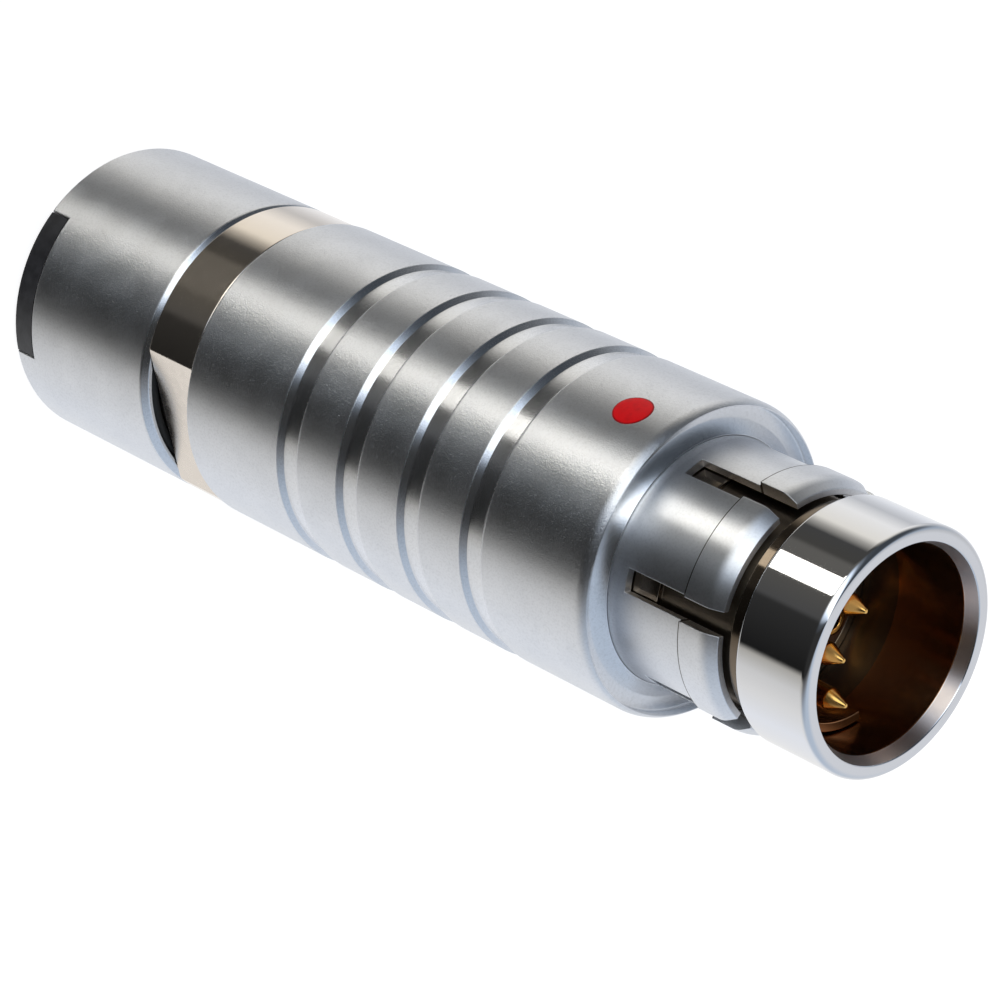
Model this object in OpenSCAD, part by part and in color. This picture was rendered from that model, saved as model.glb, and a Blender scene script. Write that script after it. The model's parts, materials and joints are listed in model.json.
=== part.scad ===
// Push-pull circular connector, cable plug.
// The axis is +Z, from the cable end (z = 0) to the nose.
// The coding dot looks along -Y.

/* [Outside] */
// Diameter of the release sleeve
sleeve_d = 19; // [18:0.1:21]
// Length of the release sleeve, end to end
sleeve_length = 33.65; // [33:0.05:37]
// How far the nut and the neck lie below the sleeve's surface
rear_step = 0.1; // [0.05:0.05:0.2]
// Length of the back nut
nut_length = 13.3; // [12.8:0.1:16]
// Length of the neck
neck_length = 4; // [2.5:0.05:6]
// Depth of the two spanner flats on the neck
flat_depth = 1.3; // [0.6:0.05:1.35]
// How far the flats are turned from the dot's side faces, in degrees
flat_turn = -4; // [-20:1:20]
// Chamfer on the ends of the sleeve
sleeve_chamfer = 0.1; // [0.05:0.05:0.4]
// Chamfer on the ends of the nut
nut_chamfer = 0.4; // [0.2:0.05:0.6]
// Height of the rim round the sleeve's front face
rim_rise = 0.65; // [0.4:0.05:0.8]
// How far the rim's outside bends in
rim_bend = 0.25; // [0.15:0.05:0.4]
// Small edge break on the neck
neck_chamfer = 0.05; // [0.05:0.05:0.3]

/* [Grip grooves] */
// Number of grip grooves round the sleeve
groove_count = 4; // [2:1:4]
// Width of one groove at the surface
groove_w = 1.85; // [1.4:0.05:2.2]
// Width of a groove's flat floor
groove_floor = 1.15; // [0.8:0.05:1.2]
// Depth of one groove
groove_depth = 0.3; // [0.2:0.02:0.5]
// Distance from one groove to the next
groove_pitch = 5.3; // [4:0.1:5.6]
// Distance from the rear end of the sleeve to the first groove's middle
first_groove = 9.3; // [7:0.1:10]

/* [Coding dot] */
// Diameter of the red dot
dot_d = 2.4; // [1.5:0.1:3]
// Distance of the dot's middle behind the sleeve's front face
dot_setback = 2.6; // [2:0.1:5]
// Depth of the enamel
dot_depth = 0.3; // [0.15:0.05:0.4]

/* [Latch sleeve] */
// How far the latch fingers lie below the sleeve's surface
collar_step = 2.2; // [2.1:0.05:2.3]
// How far the fingers' foot flares out
foot_flare = 0.12; // [0.05:0.01:0.2]
// Length of that flare
flare_length = 0.55; // [0.3:0.05:0.6]
// Thickness of a finger
finger_wall = 0.55; // [0.5:0.05:0.65]
// How far the fingers reach out of the release sleeve
finger_reach = 8.65; // [8:0.05:10]
// Number of fingers
finger_count = 6; // [4:1:8]
// Width of the slots between the fingers
slot_w = 1.4; // [1:0.05:2]
// Distance from the sleeve's front face to the slots' rear ends
slot_start = 1.55; // [1.3:0.05:3]
// Height of the claw on a finger
claw_height = 0.3; // [0.2:0.05:0.4]
// Distance from the fingers' front ends to the back of the claws
claw_back = 2.7; // [2.3:0.1:3.2]
// Length of the lead-in chamfer on a claw
claw_lead = 0.65; // [0.4:0.05:1.1]
// Height of the lead-in chamfer on a claw
claw_drop = 0.45; // [0.3:0.05:0.7]
// Length of the flange at the rear of the latch sleeve
flange_length = 3.2; // [2.4:0.1:4]
// Length of the ring that holds the latch sleeve
holding_ring_length = 1.4; // [1:0.1:2]

/* [Sleeve travel] */
// Travel of the release sleeve
travel = 1.1; // [0.8:0.1:1.2]
// Wall of the release sleeve
sleeve_wall = 1.2; // [1.1:0.05:1.3]
// Length of the sleeve's front lip, from its back to the front face
lip_length = 0.8; // [0.6:0.1:1.2]
// How far the front lip stands forward round the latch sleeve
lip_rise = 0.5; // [0.3:0.05:0.9]
// Thickness of the stop ring
stop_ring_t = 0.8; // [0.6:0.1:1]
// How deep the stop ring sits in the sleeve's wall
stop_ring_seat = 0.4; // [0.3:0.05:0.5]
// How far the stop ring reaches inwards from the sleeve's bore
stop_ring_reach = 0.55; // [0.45:0.05:0.6]
// Distance from the sleeve's rear end to the stop ring's groove
stop_ring_place = 4.9; // [4:0.1:6]

/* [Nose] */
// How far the nose stands out over the latch fingers
nose_step = 0.05; // [0:0.05:0.2]
// Length of the nose ring
nose_length = 5.35; // [4.5:0.05:6]
// Gap between the fingers and the nose
nose_gap = 1.3; // [1.25:0.05:1.6]
// Wall of the nose ring
nose_wall = 1.25; // [0.95:0.05:1.4]
// Radius of the nose's front edge, and chamfer of its rear edge
nose_edge = 0.3; // [0.2:0.05:0.4]
// Length of the chamfer inside the mouth
mouth_chamfer = 0.85; // [0.6:0.05:1.4]
// Depth of the waist under the fingers, where they bend in
waist_depth = 0.37; // [0.35:0.01:0.4]
// Wall of the shell at the waist
waist_wall = 0.45; // [0.4:0.05:0.5]

/* [Carrier] */
// Wall of the split tube that carries the insert
carrier_wall = 1.6; // [1.2:0.05:1.8]
// Length of the earthing crown
crown_length = 1.6; // [1.2:0.1:2]
// Wall of the earthing crown
crown_wall = 0.5; // [0.4:0.05:0.6]
// Length of the threaded joint between shell and rear body
joint_length = 3.4; // [3:0.1:4]
// Depth of that joint's thread below the shell's surface
joint_step = 0.8; // [0.7:0.05:0.9]
// Wall of the rear body inside that joint
joint_wall = 1.1; // [1:0.05:1.3]
// Wall of the shell round the carrier
carrier_cover = 1.4; // [1.2:0.05:1.5]
// Length of the shell's inner shoulder, on which the carrier stops
inner_shoulder = 2; // [1.5:0.1:2.5]

/* [Seals] */
// Section radius of the sleeve's O-ring
o_ring_r = 0.5; // [0.4:0.05:0.55]
// Distance of the sleeve's O-ring behind the shell's shoulder
o_ring_setback = 3.4; // [2.6:0.1:5]
// Section radius of the nut's O-ring
nut_ring_r = 0.33; // [0.28:0.01:0.36]
// Depth of the nut's recess for its O-ring
nut_ring_recess = 1; // [0.9:0.05:1.2]

/* [Insert] */
// Wall of the key ring
key_wall = 0.55; // [0.4:0.05:0.6]
// Angle that the key tongue covers
key_angle = 90; // [60:5:110]
// How far the key tongue stands in front of the insulator
key_reach = 4.5; // [3:0.1:5.5]
// Number of contact places round the insert
contact_count = 9; // [8:1:9]
// Number of those that are pins
pin_count = 3; // [1:1:4]
// Distance of the contacts' axes from the insulator's edge
contact_edge = 1.04; // [1.04:0.01:1.3]
// Diameter of a pin
pin_d = 1.3; // [0.9:0.1:1.3]
// Length of a pin in front of the insulator
pin_reach = 7.65; // [6:0.05:7.8]
// Length of a pin's point
pin_point = 1.1; // [0.6:0.1:1.5]
// Wall of a socket contact
socket_wall = 0.25; // [0.2:0.05:0.3]
// Length of the front insulator
front_insulator_length = 5; // [4:0.1:6]
// Length of the rear insulator
rear_insulator_length = 7.4; // [6:0.1:8]
// Depth of the insulator's face behind the mouth
insert_depth = 7.95; // [7.9:0.05:9]
// Length of a solder cup behind the rear insulator
cup_length = 3.2; // [2:0.1:4]

/* [Cable end] */
// Wall of the collet's shank, the cable seal and the shield clamp
clamp_wall = 2.32; // [2:0.02:3]
// Length of the collet's shank
collet_shank = 4.5; // [3.5:0.1:5]
// Length of the collet's widest part
collet_shoulder = 1.4; // [1:0.1:2]
// Wall of the collet where it seats in the nut's cone
collet_seat_wall = 1.65; // [1.3:0.05:2]
// Wall of the nut round its thread
nut_wall = 1.4; // [1.2:0.05:1.5]
// Thickness of the black gland plate in the nut's rear
gland_t = 2; // [1.6:0.1:2.4]
// Angle that each spanner notch covers
notch_angle = 58; // [40:1:70]
// Direction of the first notch
notch_turn = -37; // [-60:1:-20]
// Wall of the body's rear spigot
spigot_wall = 0.95; // [0.8:0.05:1]
// Number of slits in the collet
collet_slits = 6; // [4:1:8]
// Width of the collet's slits
collet_slit_w = 0.8; // [0.5:0.1:1.2]
// Length of the rubber cable seal
seal_length = 2; // [1.5:0.1:2.5]
// Length of the shield clamp ring
clamp_length = 2.6; // [2:0.1:3]

/* [Fits] */
// Gap between pieces that sit still in each other
seat_gap = 0.03; // [0.02:0.01:0.05]
// Radial gap between pieces that slide
slide_gap = 0.08; // [0.05:0.01:0.1]
// End play left at each stop
stop_gap = 0.1; // [0.05:0.05:0.2]
// Gap between nut and neck
nut_gap = 0.1; // [0.05:0.05:0.2]
// Gap between neck and release sleeve
sleeve_gap = 0.1; // [0.1:0.05:0.4]
// Radial gap round the collet's shank
collet_gap = 0.1; // [0.05:0.05:0.15]

/* [Hidden] */
$fn = 96;
eps = 0.01;
cut = 40;

// Stations along the axis
neck_rear = nut_length + nut_gap;
neck_front = neck_rear + neck_length;
sleeve_rear = neck_front + sleeve_gap;
sleeve_front = sleeve_rear + sleeve_length;
lip_rear = sleeve_front - lip_length;
finger_front = sleeve_front + finger_reach;
claw_rear = finger_front - claw_back;
slot_rear = sleeve_front + slot_start;
nose_rear = finger_front + nose_gap;
nose_front = nose_rear + nose_length;
flange_rear = lip_rear - seat_gap - flange_length;
holding_ring_rear = flange_rear - seat_gap - holding_ring_length;
shoulder = holding_ring_rear - 2 * stop_gap;
ring_groove_rear = sleeve_rear + stop_ring_place;
tube_front = ring_groove_rear - stop_gap;
shell_rear = ring_groove_rear + stop_ring_t + travel + stop_gap;

// Radii, from the outside in
sleeve_r = sleeve_d / 2;
sleeve_bore_r = sleeve_r - sleeve_wall;
under_sleeve_r = sleeve_bore_r - slide_gap;
rear_r = sleeve_r - rear_step;
collar_r = sleeve_r - collar_step;
foot_r = collar_r + foot_flare;
lip_bore_r = foot_r + seat_gap;
finger_in_r = collar_r - finger_wall;
guide_r = finger_in_r - slide_gap;
waist_r = guide_r - waist_depth;
shell_bore_r = waist_r - waist_wall;
key_out_r = shell_bore_r - seat_gap;
key_in_r = key_out_r - key_wall;
insulator_r = key_in_r - seat_gap;
contact_ring_r = insulator_r - contact_edge;
nose_r = collar_r + nose_step;
nose_bore_r = nose_r - nose_wall;
mouth_r = nose_bore_r + 0.35;

// Waist: starts behind the fingers' middle, ends in a cone under their tips at full travel
waist_rear = slot_rear + 1.9;
cone_rear = finger_front + 0.1;
cone_front = cone_rear + 0.3;

// Threaded joint between plug shell and rear body
joint_r = under_sleeve_r - joint_step;
joint_front = shell_rear + joint_length;
body_bore_r = joint_r - joint_wall;
carrier_r = under_sleeve_r - carrier_cover;
carrier_front = shoulder - inner_shoulder;

// Insert
face_z = nose_front - insert_depth;
split_z = face_z - front_insulator_length;
rear_z = split_z - rear_insulator_length;
cup_rear = rear_z - cup_length;
flange_t = 0.6;
contact_flange_r = pin_d / 2 + 0.35;
socket_r = pin_d / 2 + socket_wall;
step_angle = 360 / contact_count;
first_contact = -70;
key_middle = 38;
bore_step = nose_rear + 0.4;

// Cable end
thread_r = rear_r - nut_wall;
spigot_r = thread_r - seat_gap;
spigot_bore_r = spigot_r - spigot_wall;
collet_r = spigot_bore_r - collet_gap;
cable_r = collet_r - clamp_wall;
gland_r = thread_r - 0.6;
collet_rear = gland_t + 0.3;
collet_seat_r = cable_r + collet_seat_wall;
collet_cone_start = collet_rear + 0.7;
collet_big_r = thread_r - 0.35;
collet_cone_end = collet_cone_start + (collet_big_r - collet_seat_r) + 0.2;
spigot_rear = collet_cone_end + collet_shoulder;
collet_front = spigot_rear + collet_shank;
seal_front = collet_front + seat_gap + seal_length;
clamp_front = seal_front + seat_gap + clamp_length;
o_ring_place = shoulder - o_ring_setback;
nut_ring_seat = 2 * nut_ring_r + 0.1;

// Points of an arc, for turned profiles
function arc(cx, cz, r, a0, a1, n = 8) =
    [for (i = [0:n]) [cx + r * cos(a0 + (a1 - a0) * i / n), cz + r * sin(a0 + (a1 - a0) * i / n)]];

// A turned ring between two stations
module turned(r_out, r_in, z0, z1) {
    rotate_extrude()
        polygon([[r_in, z0], [r_out, z0], [r_out, z1], [r_in, z1]]);
}

// A turned ring with chamfered outer edges
module chamfered(r_out, r_in, z0, z1, c) {
    rotate_extrude()
        polygon([[r_in, z0], [r_out - c, z0], [r_out, z0 + c],
            [r_out, z1 - c], [r_out - c, z1], [r_in, z1]]);
}

// A wedge-shaped sector of a ring, centred on one direction
module sector(r_out, r_in, z0, z1, angle, middle) {
    rotate([0, 0, middle - angle / 2])
        rotate_extrude(angle = angle)
            polygon([[r_in, z0], [r_out, z0], [r_out, z1], [r_in, z1]]);
}

// The sleeve's front face lies inside a rim and sweeps up into the lip in a hollow curve
module release_sleeve() {
    run = 1.0;
    sweep_r = (run * run + lip_rise * lip_rise) / (2 * lip_rise);
    sweep_angle = asin(run / sweep_r);
    rim_r = (rim_bend * rim_bend + rim_rise * rim_rise) / (2 * rim_bend);
    rim_inside = sleeve_r - rim_bend - 0.1;
    color("silver")
        difference() {
            rotate_extrude()
                polygon(concat(
                    [[sleeve_bore_r, sleeve_rear], [sleeve_r - sleeve_chamfer, sleeve_rear],
                        [sleeve_r, sleeve_rear + sleeve_chamfer],
                        [sleeve_r, sleeve_rear + sleeve_length / 2]],
                    arc(sleeve_r - rim_r, sleeve_front, rim_r, 0, asin(rim_rise / rim_r), 6),
                    [[rim_inside, sleeve_front + rim_rise], [rim_inside, sleeve_front]],
                    arc(lip_bore_r + run, sleeve_front + sweep_r, sweep_r, -90, -90 - sweep_angle, 6),
                    [[lip_bore_r, lip_rear], [sleeve_bore_r, lip_rear]]));
            for (i = [0:groove_count - 1])
                translate([0, 0, sleeve_rear + first_groove + i * groove_pitch])
                    rotate_extrude()
                        polygon([[sleeve_r - groove_depth, -groove_floor / 2],
                            [sleeve_r, -groove_w / 2], [cut, -groove_w / 2],
                            [cut, groove_w / 2], [sleeve_r, groove_w / 2],
                            [sleeve_r - groove_depth, groove_floor / 2]]);
            turned(sleeve_bore_r + stop_ring_seat, sleeve_bore_r - eps,
                ring_groove_rear, ring_groove_rear + stop_ring_t);
            dot_plug(dot_d / 2 + seat_gap, sleeve_r - dot_depth, sleeve_r + 1);
        }
}

// A round plug that points along -Y at the dot's place, between two radii
module dot_plug(r, r_in, r_out) {
    intersection() {
        translate([0, 0, sleeve_front - dot_setback])
            rotate([90, 0, 0])
                cylinder(r = r, h = cut);
        turned(r_out, r_in, sleeve_front - dot_setback - 2 * dot_d, sleeve_front - dot_setback + 2 * dot_d);
    }
}

module coding_dot() {
    color("red")
        dot_plug(dot_d / 2, sleeve_r - dot_depth + seat_gap, sleeve_r - 0.02);
}

module latch_sleeve() {
    r = collar_r;
    claw_r = r + claw_height;
    color("silver")
        difference() {
            rotate_extrude()
                polygon([[finger_in_r, flange_rear], [sleeve_bore_r - seat_gap, flange_rear],
                    [sleeve_bore_r - seat_gap, lip_rear - seat_gap], [foot_r, lip_rear - seat_gap],
                    [foot_r, sleeve_front + lip_rise],
                    [r + foot_flare / 4, sleeve_front + lip_rise + flare_length / 2],
                    [r, sleeve_front + lip_rise + flare_length],
                    [r, claw_rear], [claw_r, claw_rear + 0.1],
                    [claw_r, finger_front - claw_lead], [claw_r - claw_drop, finger_front],
                    [finger_in_r, finger_front]]);
            for (i = [0:finger_count - 1])
                rotate([0, 0, -90 + i * 360 / finger_count])
                    translate([finger_in_r - 1, -slot_w / 2, slot_rear])
                        cube([3, slot_w, cut]);
        }
}

module latch_holding_ring() {
    color("goldenrod")
        difference() {
            turned(sleeve_bore_r - seat_gap, finger_in_r, holding_ring_rear, flange_rear - seat_gap);
            for (a = [0, 90])
                rotate([0, 0, a])
                    translate([-cut / 2, -0.5, holding_ring_rear - eps])
                        cube([cut, 1, 0.5]);
        }
}

// A spring ring, open on one side, that is squeezed to pass through the sleeve
module stop_ring() {
    gap_angle = 24;
    color("gray")
        sector(sleeve_bore_r + stop_ring_seat - seat_gap, sleeve_bore_r - stop_ring_reach,
            ring_groove_rear + seat_gap, ring_groove_rear + stop_ring_t - seat_gap,
            360 - gap_angle, 90);
}

module plug_shell() {
    color("lightgray")
        difference() {
            rotate_extrude()
                polygon(concat(
                    [[joint_r + seat_gap, shell_rear], [under_sleeve_r, shell_rear],
                        [under_sleeve_r, shoulder], [guide_r, shoulder],
                        [guide_r, waist_rear], [waist_r, waist_rear],
                        [waist_r, cone_rear], [guide_r, cone_front],
                        [guide_r, nose_rear], [nose_r - nose_edge, nose_rear], [nose_r, nose_rear + nose_edge]],
                    arc(nose_r - nose_edge, nose_front - nose_edge, nose_edge, 0, 90),
                    [[mouth_r, nose_front], [nose_bore_r, nose_front - mouth_chamfer],
                        [shell_bore_r, bore_step],
                        [shell_bore_r, carrier_front], [carrier_r + seat_gap, carrier_front],
                        [carrier_r + seat_gap, joint_front + seat_gap],
                        [joint_r + seat_gap, joint_front + seat_gap]]));
            turned(cut, under_sleeve_r - 2 * o_ring_r, o_ring_place - o_ring_r - 0.1,
                o_ring_place + o_ring_r + 0.1);
        }
}

module rear_body() {
    color("wheat")
        difference() {
            rotate_extrude()
                polygon([[spigot_bore_r, spigot_rear], [spigot_r - 0.3, spigot_rear],
                    [spigot_r, spigot_rear + 0.3], [spigot_r, neck_rear],
                    [rear_r - neck_chamfer, neck_rear], [rear_r, neck_rear + neck_chamfer],
                    [rear_r, neck_front - neck_chamfer], [rear_r - neck_chamfer, neck_front],
                    [under_sleeve_r, neck_front], [under_sleeve_r, tube_front],
                    [joint_r, tube_front], [joint_r, joint_front],
                    [body_bore_r, joint_front], [body_bore_r, clamp_front + seat_gap],
                    [spigot_bore_r, clamp_front + seat_gap]]);
            for (side = [0, 180])
                rotate([0, 0, flat_turn + side])
                    translate([rear_r - flat_depth, -cut / 2, neck_rear - nut_gap])
                        cube([cut, cut, nut_gap + neck_length + eps]);
        }
}

module back_nut() {
    r = rear_r;
    color("silver")
        difference() {
            rotate_extrude()
                polygon([[gland_r + seat_gap, 0], [r - nut_chamfer, 0], [r, nut_chamfer],
                    [r, nut_length - nut_chamfer], [r - nut_chamfer, nut_length],
                    [spigot_r + nut_ring_seat, nut_length],
                    [spigot_r + nut_ring_seat, nut_length - nut_ring_recess],
                    [thread_r, nut_length - nut_ring_recess], [thread_r, collet_cone_end],
                    [thread_r - 0.3, collet_cone_end], [collet_seat_r + 0.05, collet_cone_start],
                    [collet_seat_r + 0.05, gland_t + seat_gap], [gland_r + seat_gap, gland_t + seat_gap]]);
            for (side = [0, 180])
                sector(cut, gland_r - 0.5, -1, gland_t + seat_gap, notch_angle, notch_turn + side);
        }
}

// Black plate with two lugs that fill the nut's spanner notches
module gland_plate() {
    lug_r = rear_r - 0.02;
    c = nut_chamfer;
    color("black") {
        difference() {
            union() {
                turned(gland_r, cable_r, 0, gland_t);
                for (side = [0, 180])
                    rotate([0, 0, notch_turn + side - notch_angle / 2 + 0.4])
                        rotate_extrude(angle = notch_angle - 0.8)
                            polygon([[gland_r - 0.5, 0], [lug_r - c, 0], [lug_r, c],
                                [lug_r, gland_t], [gland_r - 0.5, gland_t]]);
            }
            translate([0, 0, -eps])
                cylinder(r1 = cable_r + 0.3, r2 = cable_r, h = 0.3);
        }
    }
}

module collet() {
    color("burlywood")
        difference() {
            rotate_extrude()
                polygon([[cable_r, collet_rear], [collet_seat_r, collet_rear],
                    [collet_seat_r, collet_cone_start], [collet_big_r, collet_cone_end],
                    [collet_big_r, spigot_rear - 0.3], [collet_r, spigot_rear - 0.3],
                    [collet_r, collet_front], [cable_r, collet_front]]);
            for (i = [0:collet_slits - 1])
                rotate([0, 0, i * 360 / collet_slits])
                    translate([0, -collet_slit_w / 2, collet_rear - 1])
                        cube([cut, collet_slit_w, collet_front - collet_rear - 0.6]);
        }
}

module cable_seal() {
    color("dimgray")
        rotate_extrude()
            polygon([[cable_r, collet_front + seat_gap], [collet_r, collet_front + seat_gap],
                [collet_r, seal_front], [cable_r, seal_front],
                [cable_r + 0.25, seal_front - seal_length / 2]]);
}

module shield_clamp() {
    color("goldenrod")
        rotate_extrude()
            polygon([[cable_r, seal_front + seat_gap], [collet_r, seal_front + seat_gap],
                [collet_r, seal_front + 1], [cable_r + 0.5, clamp_front], [cable_r, clamp_front]]);
}

module earthing_crown() {
    z0 = joint_front + 2 * seat_gap;
    z1 = z0 + crown_length;
    color("goldenrod")
        difference() {
            turned(carrier_r, carrier_r - crown_wall, z0, z1);
            for (i = [0:11])
                rotate([0, 0, i * 30])
                    translate([0, -0.3, z0 + 0.6])
                        cube([cut, 0.6, cut]);
        }
}

// One half of the tube that carries the insert
module carrier_half(side) {
    z0 = joint_front + 3 * seat_gap + crown_length;
    z1 = carrier_front - seat_gap;
    color("tan")
        sector(carrier_r, carrier_r - carrier_wall, z0, z1, 179, side);
}

module carrier_half_left() {
    carrier_half(180);
}

module carrier_half_right() {
    carrier_half(0);
}

// Ring round the insulators, with a tongue in front that keys the plug to its socket
module key_ring() {
    z0 = carrier_front + seat_gap;
    color("lightgray")
        difference() {
            turned(key_out_r, key_in_r, z0, face_z + key_reach);
            sector(key_out_r + 0.5, key_in_r - 0.5, face_z, face_z + key_reach + 1,
                360 - key_angle, key_middle + 180);
        }
}

// Holes through an insulator for all contacts
module contact_holes(r, z0, z1) {
    for (i = [0:contact_count - 1])
        rotate([0, 0, first_contact + i * step_angle])
            translate([contact_ring_r, 0, z0])
                cylinder(r = r, h = z1 - z0);
}

module insulator_front() {
    color("saddlebrown")
        difference() {
            turned(insulator_r, 0, split_z, face_z);
            contact_holes(socket_r + seat_gap, split_z - 1, face_z + 1);
            contact_holes(contact_flange_r + seat_gap, split_z - 1, split_z + flange_t + seat_gap);
        }
}

module insulator_rear() {
    color("sienna")
        difference() {
            turned(insulator_r, 0, rear_z, split_z - seat_gap);
            contact_holes(pin_d / 2 + seat_gap, rear_z - 1, split_z);
        }
}

// Shank, flange and solder cup that every contact has
module contact_tail() {
    difference() {
        union() {
            cylinder(r = pin_d / 2, h = split_z - cup_rear + eps);
            translate([0, 0, split_z - cup_rear])
                cylinder(r = contact_flange_r, h = flange_t);
        }
        translate([0, 0, -1])
            cylinder(r = pin_d / 2 - 0.2, h = 1 + cup_length * 0.8);
        translate([0, -cut / 2, -1])
            cube([cut, cut, 1 + cup_length * 0.6]);
    }
}

module contact_place(i) {
    rotate([0, 0, first_contact + i * step_angle])
        translate([contact_ring_r, 0, cup_rear])
            children();
}

module pin_contact(i) {
    collar_top = face_z - cup_rear;
    tip = collar_top + pin_reach;
    color("gold")
        contact_place(i) {
            contact_tail();
            translate([0, 0, split_z - cup_rear])
                cylinder(r = socket_r, h = front_insulator_length - 0.2);
            translate([0, 0, split_z - cup_rear])
                cylinder(r = pin_d / 2, h = tip - pin_point - split_z + cup_rear);
            translate([0, 0, tip - pin_point])
                cylinder(r1 = pin_d / 2, r2 = 0.12, h = pin_point);
        }
}

module socket_contact(i) {
    color("gold")
        contact_place(i) {
            contact_tail();
            translate([0, 0, split_z - cup_rear])
                difference() {
                    cylinder(r = socket_r, h = front_insulator_length - 0.05);
                    translate([0, 0, 1.2])
                        cylinder(r = pin_d / 2 - 0.05, h = cut);
                    translate([-cut / 2, -0.1, 2])
                        cube([cut, 0.2, cut]);
                }
        }
}

module pin_contact_1() { pin_contact(0); }
module pin_contact_2() { pin_contact(1); }
module pin_contact_3() { pin_contact(2); }
module socket_contact_1() { socket_contact(3); }
module socket_contact_2() { socket_contact(4); }
module socket_contact_3() { socket_contact(5); }
module socket_contact_4() { socket_contact(6); }
module socket_contact_5() { socket_contact(7); }
module socket_contact_6() { socket_contact(8); }

module rubber_ring(r_middle, r_section, z) {
    color("dimgray")
        rotate_extrude()
            translate([r_middle, z])
                circle(r = r_section, $fn = 32);
}

module sleeve_o_ring() {
    rubber_ring(under_sleeve_r + 0.03 - o_ring_r, o_ring_r, o_ring_place);
}

module nut_o_ring() {
    rubber_ring(spigot_r + nut_ring_seat / 2, nut_ring_r, nut_length - nut_ring_recess / 2);
}

release_sleeve();
coding_dot();
latch_sleeve();
latch_holding_ring();
stop_ring();
plug_shell();
rear_body();
back_nut();
gland_plate();
key_ring();
insulator_front();
insulator_rear();
pin_contact_1();
pin_contact_2();
pin_contact_3();
socket_contact_1();
socket_contact_2();
socket_contact_3();
socket_contact_4();
socket_contact_5();
socket_contact_6();
carrier_half_left();
carrier_half_right();
earthing_crown();
sleeve_o_ring();
nut_o_ring();
collet();
cable_seal();
shield_clamp();
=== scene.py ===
# %% [markdown]
# # A push-pull circular connector, as a lesson in turned metal
#
# The plug is nearly all lathe work: satin chrome grip, slotted latch fingers, a mirror-bright nose.
# Each visible piece is worked out with numpy as a surface of two parameters, and takes its
# finish from small node materials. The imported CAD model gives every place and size.

# %% Load the frame
import json
import math

import bpy
import numpy as np
from mathutils import Matrix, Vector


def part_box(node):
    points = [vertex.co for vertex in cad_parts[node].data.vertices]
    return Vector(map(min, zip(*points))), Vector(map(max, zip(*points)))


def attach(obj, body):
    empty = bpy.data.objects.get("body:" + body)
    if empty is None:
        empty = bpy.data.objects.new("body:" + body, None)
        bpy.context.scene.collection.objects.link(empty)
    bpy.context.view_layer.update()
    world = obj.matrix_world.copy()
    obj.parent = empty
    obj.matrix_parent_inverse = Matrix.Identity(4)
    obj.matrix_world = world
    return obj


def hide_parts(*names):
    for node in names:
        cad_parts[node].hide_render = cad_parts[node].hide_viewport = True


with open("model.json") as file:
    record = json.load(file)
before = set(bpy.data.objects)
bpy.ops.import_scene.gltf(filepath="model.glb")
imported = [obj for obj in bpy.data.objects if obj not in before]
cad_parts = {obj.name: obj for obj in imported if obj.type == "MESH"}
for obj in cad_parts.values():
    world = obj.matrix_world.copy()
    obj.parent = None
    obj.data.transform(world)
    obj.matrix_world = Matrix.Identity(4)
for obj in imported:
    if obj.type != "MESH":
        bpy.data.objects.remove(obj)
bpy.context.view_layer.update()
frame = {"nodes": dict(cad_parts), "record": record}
MM = 0.001


# %% [markdown]
# ## Turning a profile
#
# Real turned parts have no knife-sharp edges: the tool or a tumbling step breaks each one by a
# few hundredths of a millimetre, and that tiny round is what catches the light. It could be a
# Bevel modifier, but on a turned piece it is cleaner to round the profile itself, before it is
# carried round the axis. A point of a profile is (radius, height, rounding), all in millimetres.

# %% Round the corners of a profile
HOLD = 0.02  # a short straight step beside each round, so that shading stays crisp


def rounded(points, closed=True, steps=5):
    """Each corner is replaced by the arc that touches both its sides, with the given radius."""
    p = np.array([q[:2] for q in points], float)
    fillets = np.array([q[2] if len(q) > 2 else 0.0 for q in points])
    out = []
    count = len(p)
    for i in range(count):
        if fillets[i] <= 0 or (not closed and i in (0, count - 1)):
            out.append(p[i][None])
            continue
        before, after = p[i - 1] - p[i], p[(i + 1) % count] - p[i]
        len_b, len_a = np.linalg.norm(before), np.linalg.norm(after)
        before, after = before / len_b, after / len_a
        half = 0.5 * math.acos(np.clip(before @ after, -1, 1))
        if half > math.radians(88):
            out.append(p[i][None])
            continue
        reach = min(fillets[i] / math.tan(half), 0.45 * len_b, 0.45 * len_a)
        radius = reach * math.tan(half)
        middle = p[i] + (before + after) / np.linalg.norm(before + after) * radius / math.sin(half)
        start, end = p[i] + before * reach, p[i] + after * reach
        a0 = math.atan2(*(start - middle)[::-1])
        a1 = math.atan2(*(end - middle)[::-1])
        turn = (a1 - a0 + math.pi) % (2 * math.pi) - math.pi
        angles = a0 + turn * np.linspace(0, 1, steps + 1)
        arc = middle + radius * np.stack([np.cos(angles), np.sin(angles)], 1)
        hold = min(HOLD, 0.3 * radius)
        out.append(np.concatenate([start[None] + before * hold, arc, end[None] + after * hold]))
    return np.concatenate(out)


# %% [markdown]
# ## From arrays to a mesh
#
# A grid of points becomes a mesh in one call. The faces are listed as whole arrays of corner
# numbers, so no loop runs over vertices. Edges sharper than 30 degrees are marked, because a
# smooth shade across them would look like melted metal.

# %% Make a mesh object from arrays
SHARP = math.radians(30)


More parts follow.
